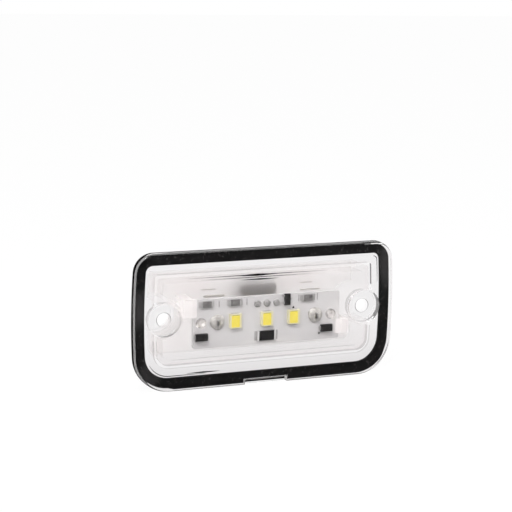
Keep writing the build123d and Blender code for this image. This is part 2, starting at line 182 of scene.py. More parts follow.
def solidMaterial(name, look):
    # Two noises: a broad one shades the colour, a fine one gives the surface its gloss and grain.
    # A look may add patches and spots of another colour, and dust.
    material, tree, shader, output, coords = newMaterial(name)
    broad = noiseNode(tree, coords, look["broadScale"])
    fine = noiseNode(tree, coords, look["fineScale"], "fine")
    colour = mixColours(tree, rangeNode(tree, broad, 0.0, 1.0), look["dark"], look["light"])
    if "patch" in look:
        mask = boxMask(tree, splitCoords(tree, coords), look["patch"])
        colour = mixColours(tree, mask, colour, look["patchColour"])
    if "spots" in look:
        mask = spotMask(tree, splitCoords(tree, coords), look["spots"])
        colour = mixColours(tree, mask, colour, look["spotColour"])
    if "dust" in look:
        speck = noiseNode(tree, coords, look["dustScale"], "dust")
        speck = rangeNode(tree, speck, 0.0, 1.0, *look["dust"], smooth=True)
        colour = mixColours(tree, speck, colour, look["dustColour"])
    tree.links.new(colour, shader.inputs["Base Color"])
    tree.links.new(rangeNode(tree, fine, *look["rough"]), shader.inputs["Roughness"])
    shader.inputs["Metallic"].default_value = look.get("metal", 0.0)
    shader.inputs["IOR"].default_value = solidIor
    shader.inputs["Specular IOR Level"].default_value = look.get("shine", 0.5)
    shader.inputs["Coat Weight"].default_value = look.get("coat", 0.0)
    addBump(tree, shader, fine, look["bump"], look["bumpDepth"])
    return material


def clearPlastic(tree, shader, coords, look):
    # A refracting plastic: a broad noise shades its tint, which is handed back, and a fine one its gloss.
    broad = noiseNode(tree, coords, look["broadScale"])
    fine = noiseNode(tree, coords, look["fineScale"])
    tint = rangeNode(tree, broad, 0.0, 1.0)
    colour = mixColours(tree, tint, look["dark"], look["light"])
    # Painted shade, where a look asks for it: darker towards the bottom and on the listed floors.
    if "floors" in look:
        parts = splitCoords(tree, coords)
        low, high = (end / perMetre for end in look["low"])
        lower = rangeNode(tree, parts.outputs["Z"], 1.0, 0.0, low, high)
        colour = mixColours(tree, lower, colour, look["lowTint"])
        colour = mixColours(tree, boxMask(tree, parts, look["floors"]), colour, look["floorTint"])
    tree.links.new(colour, shader.inputs["Base Color"])
    tree.links.new(rangeNode(tree, fine, *look["rough"]), shader.inputs["Roughness"])
    shader.inputs["IOR"].default_value = look["ior"]
    shader.inputs["Transmission Weight"].default_value = 1.0
    addBump(tree, shader, fine, look["bump"], look["bumpDepth"])
    return tint


def letLampsThrough(tree, output, surface, colour):
    # Light from the lamps passes straight through: shadow rays see a plain tinted pane.
    passage = plainShader(tree, "ShaderNodeBsdfTransparent", colour)
    rays = tree.nodes.new("ShaderNodeLightPath")
    either = mixShaders(tree, rays.outputs["Is Shadow Ray"], surface, passage)
    tree.links.new(either, output.inputs["Surface"])


def dress(names, material):
    for name in names:
        nodes[name].data.materials.clear()
        nodes[name].data.materials.append(material)


# Lens: clear polished plastic. Its walls behind the plate melt into what is seen through them. A fade or a
# quiet share says how much of a region is a plain pane, and a painted-highlight share how much is matt
# white, painted on as the highlights of rounded edges and walls.

lensLook = {
    "broadScale": 60.0, "fineScale": 900.0, "dark": (0.925, 0.912, 0.917), "light": (0.94, 0.928, 0.932),
    "rough": (0.012, 0.03), "ior": 1.49, "bump": 0.02, "bumpDepth": 0.00002, "passage": (0.96, 0.955, 0.957),
    "plateBack": -1.58, "wallFade": 0.985, "bossFade": 0.5, "veil": (0.99, 0.985, 0.987),
    "bosses": [((-31.5, -1.7, -4.5), (-22.5, 0.1, 4.5)), ((22.5, -1.7, -4.5), (31.5, 0.1, 4.5))],
    "bores": [((-28.9, -2.05, -1.9), (-25.1, 0.05, 1.9)), ((25.1, -2.05, -1.9), (28.9, 0.05, 1.9))],
    "shadedWall": [((29.2, -1.58, 5.5), (30.2, -0.2, 11.7)), ((26.0, -2.7, -4.5), (31.0, -2.12, -2.4))],
    "shade": (0.30, 0.29, 0.30), "shadeShare": 0.9,
    # Painted shade: the collar's top and lower walls show through a greyer pane.
    "paleWall": [((-28.6, -1.58, 11.2), (28.3, -0.5, 11.5)), ((-32.0, -1.58, -13.0), (32.0, -0.2, -5.5))],
    "pale": (0.80, 0.79, 0.79),
    "quiet": [
        (0.86, [((-24.6, -1.7, -2.8), (-22.4, 0.1, 4.5))]),  # inner side of the left boss
        (0.6, [((-36.0, -3.7, -18.5), (36.0, -1.62, -17.95))]),  # lower edge of the plate
        (0.62, [((-24.2, -3.59, -3.2), (-22.5, -2.12, 3.0))]),  # left counterbore, inner wall
        (0.3, [((-30.0, -3.59, -4.5), (-24.2, -2.12, -2.0))]),  # left counterbore, lower wall
        (0.7, [((26.5, -3.59, -4.5), (31.5, -2.12, -2.4))]),  # right counterbore, lower wall
    ],
    # Painted shade: the counterbore floors are tinted darker, and the lens is tinted darker towards its
    # bottom.
    "floors": [((-31.3, -2.2, -4.3), (-22.7, -2.0, 4.3)), ((22.7, -2.2, -4.3), (31.3, -2.0, 4.3))],
    "floorTint": (0.86, 0.85, 0.855),
    "low": (-15.0, -5.0), "lowTint": (0.825, 0.81, 0.815),
    # Painted highlights: shares of matt white along rounded edges and walls, in place of the light they
    # catch.
    "paintedHighlight": [
        (0.22, [((-36.0, -3.58, -19.0), (-31.6, -3.2, 18.0))]),  # rounded left edge
        (0.1, [((-36.0, -3.58, 16.7), (26.0, -3.06, 18.0))]),  # rounded top edge
        (0.3, [((26.6, -3.599, 16.44), (28.4, -3.42, 16.56))]),  # pale line before the top right corner
        (0.7, [  # and round it
            ((28.4, -3.599, 16.42), (30.4, -3.42, 16.64)), ((30.4, -3.599, 16.25), (32.2, -3.42, 16.55)),
        ]),
        (0.22, [((-5.9, -3.7, -17.0), (5.9, -3.2, -16.5))]),  # long wall of the notch
        (0.19, [((26.0, -3.58, -4.5), (31.5, -2.12, 4.5))]),  # right counterbore, outer wall
        (0.4, [  # both ends of the notch
            ((-6.2, -3.5, -17.9), (-5.5, -1.7, -16.9)), ((5.5, -3.5, -17.9), (6.2, -1.7, -16.9)),
        ]),
    ],
    "paintedHighlightColour": (0.9, 0.89, 0.89),
}


def lensMaterial(name, look):
    # Refraction, mixed with a plain pane where walls fade and with a matt white painted as highlights on
    # edges.
    material, tree, shader, output, coords = newMaterial(name)
    clearPlastic(tree, shader, coords, look)
    parts = splitCoords(tree, coords)
    behind = mathNode(tree, "GREATER_THAN", parts.outputs["Y"], look["plateBack"] / perMetre)
    bosses = boxMask(tree, parts, look["bosses"])
    shaded = boxMask(tree, parts, look["shadedWall"])
    fade = rangeNode(tree, bosses, look["wallFade"], look["bossFade"], 0.0, 1.0)
    fade = mathNode(tree, "MULTIPLY", fade, behind)
    for share, boxes in look["quiet"]:
        calm = mathNode(tree, "MULTIPLY", boxMask(tree, parts, boxes), share)
        fade = mathNode(tree, "MAXIMUM", fade, calm)
    fade = mathNode(tree, "MAXIMUM", fade, boxMask(tree, parts, look["bores"]))
    fade = mathNode(tree, "MAXIMUM", fade, mathNode(tree, "MULTIPLY", shaded, look["shadeShare"]))
    veil = tree.nodes.new("ShaderNodeBsdfTransparent")
    # Painted shade: pale walls show through a greyer pane, shaded walls through a darker one.
    veilColour = mixColours(tree, boxMask(tree, parts, look["paleWall"]), look["veil"], look["pale"])
    tree.links.new(mixColours(tree, shaded, veilColour, look["shade"]), veil.inputs["Color"])
    surface = mixShaders(tree, fade, shader.outputs["BSDF"], veil.outputs["BSDF"])
    # Painted highlights: matt white mixed in where the look lists it.
    paintedHighlight = plainShader(tree, "ShaderNodeBsdfDiffuse", look["paintedHighlightColour"])
    for share, boxes in look["paintedHighlight"]:
        edge = mathNode(tree, "MULTIPLY", boxMask(tree, parts, boxes), share)
        surface = mixShaders(tree, edge, surface, paintedHighlight)
    letLampsThrough(tree, output, surface, look["passage"])
    return material


dress(["lens"], lensMaterial("clearLens", lensLook))

# Rear housing: natural plastic, clear in its walls, frosted at the rear, and milky in the hooks

housingLook = {
    "broadScale": 80.0, "fineScale": 1500.0, "dark": (0.985, 0.972, 0.97), "light": (1.0, 0.992, 0.985),
    "rough": (0.26, 0.38), "ior": 1.10, "bump": 0.03, "bumpDepth": 0.00002, "passage": (0.94, 0.935, 0.935),
    "milkDark": (0.92, 0.905, 0.897), "milkLight": (0.97, 0.955, 0.948), "milkRough": 0.3,
    "glow": 0.5, "wallMilk": 0.06, "hookMilk": 0.8, "stakeMilk": 0.28, "frostMilk": 0.42,
    "frostRough": 0.75, "frostIor": 1.45,
    "wallFade": 0.985, "veil": (0.994, 0.989, 0.988),
    "hooks": [((-21.7, -0.6, -0.6), (-17.6, 6.7, 4.4)), ((20.4, -0.6, -7.6), (23.7, 6.7, -3.4))],
    "stakes": [((-18.0, -0.2, -3.5), (-15.1, 0.7, -0.7)), ((17.5, -0.2, -3.5), (20.4, 0.7, -0.7))],
    "rear": 6.7, "flat": 0.9, "seat": ((1.5, 1.6), (6.2, 5.6), 2.2), "seatMilk": 0.19,
    # Painted reflection: two pinkish, darker spots on the frosted rear.
    "reflectionTint": [(-17.0, 6.6, 8.5, 4.2), (11.0, 6.5, 9.0, 3.5)], "reflectionTintColour": (0.915, 0.88, 0.877),
}


def housingMaterial(name, look):
    # Clear walls and a frosted rear, both mixed with milk by a share that each region sets.
    material, tree, shader, output, coords = newMaterial(name)
    tint = clearPlastic(tree, shader, coords, look)
    parts = splitCoords(tree, coords)
    milkColour = mixColours(tree, tint, look["milkDark"], look["milkLight"])
    milk = tree.nodes.new("ShaderNodeBsdfPrincipled")
    tree.links.new(milkColour, milk.inputs["Base Color"])
    milk.inputs["Roughness"].default_value = look["milkRough"]
    glow = tree.nodes.new("ShaderNodeBsdfTranslucent")
    tree.links.new(milkColour, glow.inputs["Color"])
    cloudy = mixShaders(tree, look["glow"], milk.outputs["BSDF"], glow.outputs["BSDF"])
    frost = tree.nodes.new("ShaderNodeBsdfPrincipled")
    frostColour = mixColours(tree, tint, look["dark"], look["light"])
    # Painted reflection: the pinkish spots on the frost.
    frostColour = mixColours(tree, spotMask(tree, parts, look["reflectionTint"]), frostColour, look["reflectionTintColour"])
    tree.links.new(frostColour, frost.inputs["Base Color"])
    frost.inputs["Roughness"].default_value = look["frostRough"]
    frost.inputs["IOR"].default_value = look["frostIor"]
    frost.inputs["Transmission Weight"].default_value = 1.0
    veil = plainShader(tree, "ShaderNodeBsdfTransparent", look["veil"])
    walls = mixShaders(tree, look["wallFade"], shader.outputs["BSDF"], veil)
    rear = mathNode(tree, "GREATER_THAN", parts.outputs["Y"], look["rear"] / perMetre)
    facing = splitCoords(tree, coords, "Normal").outputs["Y"]
    flat = mathNode(tree, "GREATER_THAN", mathNode(tree, "ABSOLUTE", facing, 0.0), look["flat"])
    rear = mathNode(tree, "MULTIPLY", rear, flat)
    clear = mixShaders(tree, rear, walls, frost.outputs["BSDF"])
    seat = rimMask(tree, parts, *look["seat"])
    seat = rangeNode(tree, seat, look["seatMilk"], look["frostMilk"], 0.0, 1.0)
    share = mathNode(tree, "MAXIMUM", mathNode(tree, "MULTIPLY", rear, seat), look["wallMilk"])
    for region, milkShare in (("hooks", look["hookMilk"]), ("stakes", look["stakeMilk"])):
        inside = mathNode(tree, "MULTIPLY", boxMask(tree, parts, look[region]), milkShare)
        share = mathNode(tree, "MAXIMUM", share, inside)
    surface = mixShaders(tree, share, clear, cloudy)
    letLampsThrough(tree, output, surface, look["passage"])
    return material


dress(["rear_housing"], housingMaterial("housingPlastic", housingLook))
print("stage: clear plastics")

# Opaque pieces, each look beside the pieces that wear it

rubberLook = {
    "broadScale": 120.0, "fineScale": 2600.0,
    "dark": (0.002, 0.002, 0.002), "light": (0.006, 0.0055, 0.0058),
    "rough": (0.55, 0.75), "shine": 0.15, "bump": 0.25, "bumpDepth": 0.00004,
    # Lighter patches at the right edge, the lower left and the left.
    "spots": [(34.0, 11.0, 3.2, 8.5), (-30.5, -13.5, 4.0, 4.0), (-33.5, 3.0, 3.0, 6.0)],
    "spotColour": (0.03, 0.0285, 0.029),
    "dust": (0.6, 0.7), "dustScale": 1500.0, "dustColour": (0.04, 0.037, 0.037),
}
rubberMattLook = {**rubberLook, "rough": (0.85, 1.0), "shine": 0.0}
# Painted sheen: a lighter grey rubber for the ridge in the notch, standing for the light its edges catch.
paintedSheenLook = {
    "broadScale": 400.0, "fineScale": 2600.0, "dark": (0.05, 0.048, 0.047), "light": (0.14, 0.135, 0.13),
    "rough": (0.45, 0.6), "bump": 0.2, "bumpDepth": 0.00002,
}
rubber = solidMaterial("sealRubber", rubberLook)
rubberMatt = solidMaterial("sealRubberMatt", rubberMattLook)
rubberPaintedSheen = solidMaterial("sealRubberPaintedSheen", paintedSheenLook)
dress(["seal"], rubber)

boardLook = {
    "broadScale": 90.0, "fineScale": 3200.0, "dark": (0.565, 0.556, 0.556), "light": (0.62, 0.616, 0.61),
    "rough": (0.34, 0.5), "bump": 0.06, "bumpDepth": 0.00002,
    # Lighter patches: one at the right end, and one along the lower edge below the ballast, painted light
    # that lifts the shade falling there.
    "spots": [(20.5, -3.0, 4.0, 5.5), (2.2, -8.3, 10.0, 1.9)], "spotColour": (0.67, 0.662, 0.65),
}
inkLook = {
    "broadScale": 900.0, "fineScale": 6000.0, "dark": (0.20, 0.195, 0.19), "light": (0.32, 0.31, 0.30),
    "rough": (0.5, 0.7), "bump": 0.1, "bumpDepth": 0.000005,
}
ink = solidMaterial("boardInk", inkLook)
dress(["circuit_board"], solidMaterial("boardMask", boardLook))

packageLook = {
    "broadScale": 300.0, "fineScale": 4000.0, "dark": (0.64, 0.605, 0.40), "light": (0.70, 0.665, 0.46),
    "rough": (0.3, 0.42), "bump": 0.05, "bumpDepth": 0.00001,
}
phosphorLook = {
    "broadScale": 500.0, "fineScale": 6000.0, "dark": (0.78, 0.655, 0.085), "light": (0.83, 0.71, 0.125),
    "rough": (0.3, 0.45), "bump": 0.1, "bumpDepth": 0.00001, "coat": 0.1,
    # A darker olive strip along the top end of each phosphor.
    "patch": [((-10.0, -1.5, -0.62), (11.0, 0.7, 0.2))], "patchColour": (0.36, 0.31, 0.08),
}
ledPlaces = ("left", "centre", "right")
dress(["led_body_" + place for place in ledPlaces], solidMaterial("ledPackage", packageLook))
dress(["led_phosphor_" + place for place in ledPlaces], solidMaterial("phosphor", phosphorLook))

tinLook = {
    "broadScale": 400.0, "fineScale": 5000.0, "dark": (0.40, 0.395, 0.39), "light": (0.54, 0.535, 0.525),
    "rough": (0.5, 0.65), "metal": 0.45, "bump": 0.12, "bumpDepth": 0.00001,
}
tinBrightLook = {**tinLook, "dark": (0.60, 0.595, 0.585), "light": (0.74, 0.735, 0.725), "metal": 0.25}
tinned = ["led_tabs", "chip_resistor_caps", "diode_leads", "transistor_leads", "solder_fillets"]
dress(tinned, solidMaterial("tinPlate", tinLook))
dress(["ballast_resistor_caps"], solidMaterial("tinBright", tinBrightLook))

solderLook = {
    "broadScale": 700.0, "fineScale": 900.0, "dark": (0.44, 0.43, 0.405), "light": (0.58, 0.565, 0.535),
    "rough": (0.1, 0.48), "metal": 0.15, "bump": 0.8, "bumpDepth": 0.00035,
}
solderDullLook = {
    **solderLook, "dark": (0.39, 0.385, 0.375), "light": (0.48, 0.475, 0.465), "metal": 0.3, "bump": 0.2,
}
solder = solidMaterial("solder", solderLook)
solderDull = solidMaterial("solderDull", solderDullLook)
dress(["solder_joint_left", "solder_joint_right", "test_pads"], solder)

chipLook = {
    "broadScale": 900.0, "fineScale": 5000.0, "dark": (0.10, 0.097, 0.094), "light": (0.25, 0.244, 0.236),
    "rough": (0.35, 0.5), "bump": 0.1, "bumpDepth": 0.00001,
}
ballastLook = {
    "broadScale": 900.0, "fineScale": 5000.0,
    "dark": (0.008, 0.0075, 0.0075), "light": (0.02, 0.019, 0.0185),
    "rough": (0.35, 0.5), "bump": 0.1, "bumpDepth": 0.00001,
}
mouldLook = {
    "broadScale": 700.0, "fineScale": 7000.0,
    "dark": (0.006, 0.0055, 0.0055), "light": (0.018, 0.017, 0.0165),
    "rough": (0.45, 0.65), "bump": 0.2, "bumpDepth": 0.00001,
}
chipPlaces = ("outer", "inner", "right")
dress(["chip_resistor_" + place for place in chipPlaces], solidMaterial("chipGlaze", chipLook))
dress(["ballast_resistor"], solidMaterial("ballastGlaze", ballastLook))
dress(["diode_left", "diode_right", "transistor"], solidMaterial("mouldBlack", mouldLook))

brassLook = {
    "broadScale": 200.0, "fineScale": 3000.0, "dark": (0.66, 0.58, 0.38), "light": (0.76, 0.69, 0.50),
    "rough": (0.25, 0.4), "metal": 1.0, "bump": 0.08, "bumpDepth": 0.00001,
    "patch": [((-30.0, -2.0, -10.0), (30.0, 0.7, 10.0))], "patchColour": (0.66, 0.655, 0.645),
}
dress(["terminal_left", "terminal_right"], solidMaterial("terminalBrass", brassLook))

connectorLook = {
    "broadScale": 150.0, "fineScale": 3500.0, "dark": (0.012, 0.012, 0.013), "light": (0.022, 0.022, 0.023),
    "rough": (0.4, 0.56), "bump": 0.15, "bumpDepth": 0.00002,
    "middle": (1.425, 1.27), "half": (5.2, 4.3), "soft": 1.2, "front": 7.72, "pale": (0.22, 0.217, 0.217),
}


def connectorMaterial(name, look):
    # The hidden front face pales towards its rim, where the wall's thickness lets light in round it.
    material = solidMaterial(name, look)
    tree = material.node_tree
    shader = tree.nodes["Principled BSDF"]
    coords = tree.nodes["Texture Coordinate"]
    colour = shader.inputs["Base Color"].links[0].from_socket
    parts = splitCoords(tree, coords)
    rim = rimMask(tree, parts, look["middle"], look["half"], look["soft"])
    front = mathNode(tree, "LESS_THAN", parts.outputs["Y"], look["front"] / perMetre)
    rim = mathNode(tree, "MULTIPLY", rim, front)
    tree.links.new(mixColours(tree, rim, colour, look["pale"]), shader.inputs["Base Color"])
    return material


dress(["connector_shell"], connectorMaterial("connectorBlack", connectorLook))
print("stage: opaque materials")

# Surfaces on grids. Lengths are in millimetres until a grid becomes a mesh.


def addPiece(name, grids, material, rings=False):
    # Each grid is rows by columns of points, closed along its columns. Its end rows run to a middle point,
    # or for a ring the last row meets the first. Faces are turned outwards by the sign of the volume.
    points, faces, start = [], [], 0
    for grid in grids:
        rows, columns = grid.shape[:2]
        flat = grid.reshape(-1, 3)
        index = np.arange(rows * columns).reshape(rows, columns)
        if rings:
            index = np.vstack([index, index[:1]])
        ahead = np.roll(index, -1, axis=1)
        quads = np.stack([index[:-1], index[1:], ahead[1:], ahead[:-1]], axis=-1).reshape(-1, 4)
        triangles = np.vstack([quads[:, [0, 1, 2]], quads[:, [0, 2, 3]]])
        if not rings:
            flat = np.vstack([flat, grid[0].mean(0), grid[-1].mean(0)])
            first = np.full(columns, rows * columns)
            firstFan = np.stack([first, index[0], ahead[0]], axis=-1)
            lastFan = np.stack([first + 1, ahead[-1], index[-1]], axis=-1)
            triangles = np.vstack([triangles, firstFan, lastFan])
        near = flat - flat.mean(0)
        a, b, c = near[triangles[:, 0]], near[triangles[:, 1]], near[triangles[:, 2]]
        if np.sum(a * np.cross(b, c)) < 0.0:
            triangles = triangles[:, ::-1]
        points.append(flat / perMetre)
        faces.append(triangles + start)
        start += len(flat)
    mesh = bpy.data.meshes.new(name)
    mesh.from_pydata(np.vstack(points).tolist(), [], np.vstack(faces).tolist())
    mesh.polygons.foreach_set("use_smooth", np.ones(len(mesh.polygons), dtype=bool))
    mesh.materials.append(material)
    mesh.update()
    piece = bpy.data.objects.new(name, mesh)
    scene.collection.objects.link(piece)
    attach(piece, "root")
    return piece


def signedPower(wave, power):
    return np.sign(wave) * np.abs(wave) ** power


def softBlock(middle, half, square, rows, columns):
    # A rounded block is a superellipsoid: the cosines and sines of its two angles are raised to a power.
    tilt = np.linspace(-np.pi / 2, np.pi / 2, rows + 2)[1:-1, None]
    turn = np.linspace(0.0, 2 * np.pi, columns, endpoint=False)[None, :]
    waist = signedPower(np.cos(tilt), square)
    x = middle[0] + half[0] * waist * signedPower(np.cos(turn), square)
    z = middle[2] + half[2] * waist * signedPower(np.sin(turn), square)
    y = middle[1] + half[1] * signedPower(np.sin(tilt), square) + 0.0 * turn
    return np.stack([x, y, z], axis=-1)


def millimetres(node):
    low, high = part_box(node)
    return np.array(low) * perMetre, np.array(high) * perMetre


# Seal, on the plate's own outline: the bond is the skin of rubber that wets the back of the plate, and a lip
# wraps the edge at the left. Two dark threads beside the inner edge are painted reflection of that edge, and
# a ridge in the notch is a lighter grey rubber as painted sheen.

plateShape = {
    "width": 70.4, "height": 35.2, "drop": 0.65, "bow": 0.8,
    "topRadius": 5.0, "bottomRadius": 9.4, "leastRadius": 0.6,
}


def plateOutline(shape, inset, steps=20):
    # Half of the edge runs along the top, round a corner arc, down a side bowed to a circle and round the
    # next arc. A corner arc touches the circle from inside, so their middles are the circle's radius less
    # the arc's apart. The other half is its mirror image.
    side = shape["width"] / 2 - inset
    top = shape["height"] / 2 - inset
    bow = shape["bow"] * (2 * top / shape["height"]) ** 2
    bend = (top ** 2 + bow ** 2) / (2 * bow)
    bendX = side - bend
    upper = max(shape["topRadius"] - inset, shape["leastRadius"])
    lower = max(shape["bottomRadius"] - inset, shape["leastRadius"])
    upperX = bendX + np.sqrt((bend - upper) ** 2 - (top - upper) ** 2)
    lowerX = bendX + np.sqrt((bend - lower) ** 2 - (top - lower) ** 2)
    upperTurn = np.arctan2(top - upper, upperX - bendX)
    lowerTurn = -np.arctan2(top - lower, lowerX - bendX)
    run = np.linspace(0.0, 1.0, steps, endpoint=False)
    first = np.pi / 2 + (upperTurn - np.pi / 2) * run
    along = upperTurn + (lowerTurn - upperTurn) * run
    second = lowerTurn + (-np.pi / 2 - lowerTurn) * run
    x = np.concatenate([
        upperX * run, upperX + upper * np.cos(first), bendX + bend * np.cos(along),
        lowerX + lower * np.cos(second), lowerX * (1.0 - run),
    ])
    z = np.concatenate([
        top + 0.0 * run, top - upper + upper * np.sin(first), bend * np.sin(along),
        lower - top + lower * np.sin(second), -top + 0.0 * run,
    ])
    x = np.concatenate([x, [0.0], -x[:0:-1]])
    z = np.concatenate([z, [-top], z[:0:-1]])
    return x, z - shape["drop"]


def smoothStep(value, start, end):
    share = np.clip((value - start) / (end - start), 0.0, 1.0)
    return share * share * (3.0 - 2.0 * share)


bondLook = {
    "outer": 0.25, "inner": 3.12, "front": -1.66, "back": -1.61, "square": 0.25, "rows": 16,
    "start": 0.12, "leftStart": 0.85, "leftFrom": (-24.0, -31.0), "bottomFrom": (-12.0, -15.0),
}


def bondGrid(shape, look):
    # The bond's section is a flat superellipse between an outer and an inner outline. It starts close to the
    # edge along the bottom, further in along the top and right, and far in along the left.
    outerX, outerZ = plateOutline(shape, look["outer"])
    innerX, innerZ = plateOutline(shape, look["inner"])
    left = smoothStep(outerX, *look["leftFrom"])
    bottom = smoothStep(outerZ, *look["bottomFrom"])
    begin = look["start"] * (1.0 - bottom)
    begin = begin + (look["leftStart"] - begin) * left
    turn = np.linspace(0.0, 2 * np.pi, look["rows"], endpoint=False)[:, None]
    share = 0.5 + 0.5 * signedPower(np.cos(turn), look["square"])
    share = begin + (1.0 - begin) * share
    thick = (look["back"] - look["front"]) / 2
    depth = (look["front"] + look["back"]) / 2 + thick * signedPower(np.sin(turn), look["square"])
    x = outerX * (1.0 - share) + innerX * share
    z = outerZ * (1.0 - share) + innerZ * share
    return np.stack([x, depth + 0.0 * x, z], axis=-1)


lipLook = {
    "back": -1.6, "front": 1.5, "thick": 0.03, "least": 0.02, "leftFrom": (-29.0, -33.0),
    "square": 0.4, "rows": 16,
}


def lipGrid(shape, look):
    # A thin band outside the edge. Its section is a superellipse that lengthens as the edge nears the left.
    baseX, baseZ = plateOutline(shape, -look["thick"])
    outX, outZ = plateOutline(shape, -2 * look["thick"])
    swell = look["least"] + (1.0 - look["least"]) * smoothStep(baseX, *look["leftFrom"])
    turn = np.linspace(0.0, 2 * np.pi, look["rows"], endpoint=False)[:, None]
    share = signedPower(np.cos(turn), look["square"])
    x = baseX + (outX - baseX) * share
    z = baseZ + (outZ - baseZ) * share
    depth = look["back"] - look["front"] * swell * (0.5 + 0.5 * signedPower(np.sin(turn), look["square"]))
    return np.stack([x, depth, z], axis=-1)


# Painted reflection: dark threads standing for the seal's inner edge seen again through the plate.
reflectionThreadLook = {
    "depth": -1.57, "rise": 0.04, "rows": 60, "columns": 12,
    "threads": [  # spans of X and Z, inset and half width
        ((-36.0, -15.5), (-19.0, -11.3), 3.72, 0.1), ((29.6, 36.0), (5.8, 18.0), 3.93, 0.105),
    ],
}


def reflectionThreadGrid(shape, spanX, spanZ, inset, half, look):
    # A thread beside the seal's inner edge, round one corner of it. Its section is an ellipse, which shrinks
    # towards both ends as the height of a half circle does.
    nearX, nearZ = plateOutline(shape, inset, look["rows"])
    farX, farZ = plateOutline(shape, inset + half, look["rows"])
    inSpan = (nearX > spanX[0]) & (nearX < spanX[1]) & (nearZ > spanZ[0]) & (nearZ < spanZ[1])
    keep = np.flatnonzero(inSpan)
    along = np.linspace(-1.0, 1.0, len(keep) + 2)[1:-1, None]
    swell = np.sqrt(1.0 - along ** 2)
    turn = np.linspace(0.0, 2 * np.pi, look["columns"], endpoint=False)[None, :]
    share = swell * np.cos(turn)
    x = nearX[keep, None] + (farX - nearX)[keep, None] * share
    z = nearZ[keep, None] + (farZ - nearZ)[keep, None] * share
    return np.stack([x, look["depth"] + look["rise"] * swell * np.sin(turn), z], axis=-1)


ridgeLook = {
    "middle": (0.0, -1.66, -17.53), "half": (5.5, 0.06, 0.07), "square": 0.5, "rows": 10, "columns": 40,
}
threads = [reflectionThreadGrid(plateShape, *thread, reflectionThreadLook) for thread in reflectionThreadLook["threads"]]
addPiece("seal_reflection_threads", threads, rubber)
addPiece("seal_bond", [bondGrid(plateShape, bondLook)], rubber, rings=True)
addPiece("seal_lip", [lipGrid(plateShape, lipLook)], rubberMatt, rings=True)
addPiece("notch_ridges", [softBlock(**ridgeLook)], rubberPaintedSheen)
print("stage: seal")

# Solder: two lumpy mounds over the terminal leads, and three domed pads

moundLook = {
    "rise": 0.95, "fullness": 0.8, "waves": 3, "waveDepth": 0.04, "dent": 0.08, "rows": 26, "columns": 72,
    "sink": 0.02, "phases": {"solder_joint_left": 0.7, "solder_joint_right": 2.3},
}
padLook = {
    "rise": 0.42, "fullness": 0.62, "waves": 4, "waveDepth": 0.035, "dent": 0.03, "rows": 12, "columns": 40,
    "sink": 0.02, "phases": (0.4, 2.6, 4.9), "spread": 1.16,
}
dentShape = {"away": 0.35, "reach": 0.3}  # as shares of the radius


def solderGrid(middle, base, radius, look, phase):
    # From rim to crown the radius falls as a cosine and the height climbs as a sine to the power of the
    # fullness. A wave round the rim and one shallow bell-shaped dent off the middle make it lumpy.
    climb = np.linspace(0.0, 1.0, look["rows"], endpoint=False)[:, None]
    turn = np.linspace(0.0, 2 * np.pi, look["columns"], endpoint=False)[None, :]
    reach = radius * np.cos(climb * np.pi / 2)
    reach = reach * (1.0 - look["waveDepth"] * (1.0 + np.cos(look["waves"] * turn + phase)) * (1.0 - climb))
    x = reach * np.cos(turn)
    z = reach * np.sin(turn)
    dentX = x - dentShape["away"] * radius * np.cos(phase)
    dentZ = z - dentShape["away"] * radius * np.sin(phase)
    dent = np.exp(-(dentX ** 2 + dentZ ** 2) / (dentShape["reach"] * radius) ** 2)
    lift = np.sin(climb * np.pi / 2)
    height = look["rise"] * lift ** look["fullness"] - look["dent"] * dent * lift
    return np.stack([middle[0] + x, base - height, middle[1] + z], axis=-1)


for node, phase in moundLook["phases"].items():
    low, high = millimetres(node)
    middle = ((low[0] + high[0]) / 2, (low[2] + high[2]) / 2)
    mound = solderGrid(middle, high[1] + moundLook["sink"], (high[0] - low[0]) / 2, moundLook, phase)
    piece = addPiece(node.replace("joint", "mound"), [mound], solder)
    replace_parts(piece, node)
low, high = millimetres("test_pads")
padRadius = (high[2] - low[2]) / 2
padX = np.linspace(low[0] + padRadius, high[0] - padRadius, len(padLook["phases"]))
padZ = (low[2] + high[2]) / 2
pads = [
    solderGrid((x, padZ), high[1] + padLook["sink"], padLook["spread"] * padRadius, padLook, phase)
    for x, phase in zip(padX, padLook["phases"])
]
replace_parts(addPiece("pad_domes", pads, solderDull), "test_pads")
print("stage: solder")

# Bore rims: a thin dark grey ring round each screw hole, heavier on two sides, painted shade of the bore's
# edge

rimLook = {
    "broadScale": 300.0, "fineScale": 3000.0, "dark": (0.16, 0.155, 0.155), "light": (0.30, 0.29, 0.29),
    "rough": (0.2, 0.35), "bump": 0.05, "bumpDepth": 0.00001,
    "radius": 1.84, "thick": 0.085, "floor": -2.1, "turns": {-27.0: (0.75, 3.3), 27.0: (0.2, 3.5)},  # by X
    "thread": 0.12, "focus": 3.0, "rows": 10, "columns": 120,
}


def rimGrid(x, turns, look):
    # A ring whose section is a circle. Its thickness swells round two headings, as the exponential of the
    # cosine of the angle from each, and thins to a thread between them.
    turn = np.linspace(0.0, 2 * np.pi, look["columns"], endpoint=False)[None, :]
    around = np.linspace(0.0, 2 * np.pi, look["rows"], endpoint=False)[:, None]
    swell = look["thread"] + sum(np.exp(look["focus"] * (np.cos(turn - heading) - 1.0)) for heading in turns)
    thick = look["thick"] * np.minimum(swell, 1.0)
    reach = look["radius"] + thick * np.cos(around)
    depth = look["floor"] + thick * np.sin(around)
    return np.stack([x + reach * np.cos(turn), depth + 0.0 * turn, reach * np.sin(turn)], axis=-1)


rims = [rimGrid(x, turns, rimLook) for x, turns in rimLook["turns"].items()]
edgeShade = solidMaterial("edgeShade", rimLook)
addPiece("bore_shade_rings", rims, edgeShade, rings=True)

# Board print: short lines beside the small resistors, and two plated through holes

